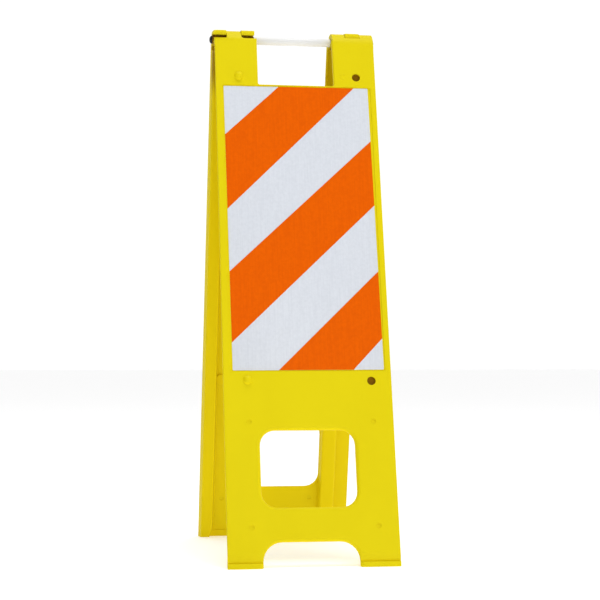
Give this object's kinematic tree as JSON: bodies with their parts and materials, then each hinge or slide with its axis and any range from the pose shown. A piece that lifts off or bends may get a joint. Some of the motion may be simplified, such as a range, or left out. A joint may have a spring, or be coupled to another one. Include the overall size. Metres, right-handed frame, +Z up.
{
  "type": "traffic barrier",
  "caption": "Folding A-frame barrier with two leaning plastic panels, orange and white striped sheets, a lower window, foot arches and a tube handle on its hinge rod.",
  "frame": {"origin": "centre of the footprint on the floor, under the middle of the hinge rod", "axes": "+Z up, X along the hinge rod, the front face looks towards -Y"},
  "size_m": [0.3528, 0.6052, 1.0966],
  "materials": {
    "yellow_moulding": "satin, lightly textured",
    "white_sheet": "retroreflective, fine cells",
    "orange_film": "satin film",
    "rod_steel": "drawn",
    "white_tube": "satin",
    "black_cap": "satin"
  },
  "bodies": {
    "front": {"front_half": "yellow_moulding", "front_white_sheet": "white_sheet", "front_orange_stripe_upper": "orange_film", "front_orange_stripe_middle": "orange_film", "front_orange_stripe_lower": "orange_film", "hinge_rod": "rod_steel", "left_push_cap": "black_cap", "right_push_cap": "black_cap"},
    "rear": {"rear_half": "yellow_moulding", "rear_white_sheet": "white_sheet", "rear_orange_stripe_upper": "orange_film", "rear_orange_stripe_middle": "orange_film", "rear_orange_stripe_lower": "orange_film"},
    "handle": {"handle_tube": "white_tube"}
  },
  "joints": [
    {"name": "fold_hinge", "type": "hinge", "parent": "front", "child": "rear", "pos_m": [0, 0, 1.07663], "axis": [-1, 0, 0], "range_deg": [0, 28.5]},
    {"name": "handle_roll", "type": "hinge", "parent": "front", "child": "handle", "pos_m": [0, 0, 1.07663], "axis": [1, 0, 0], "continuous": true}
  ]
}
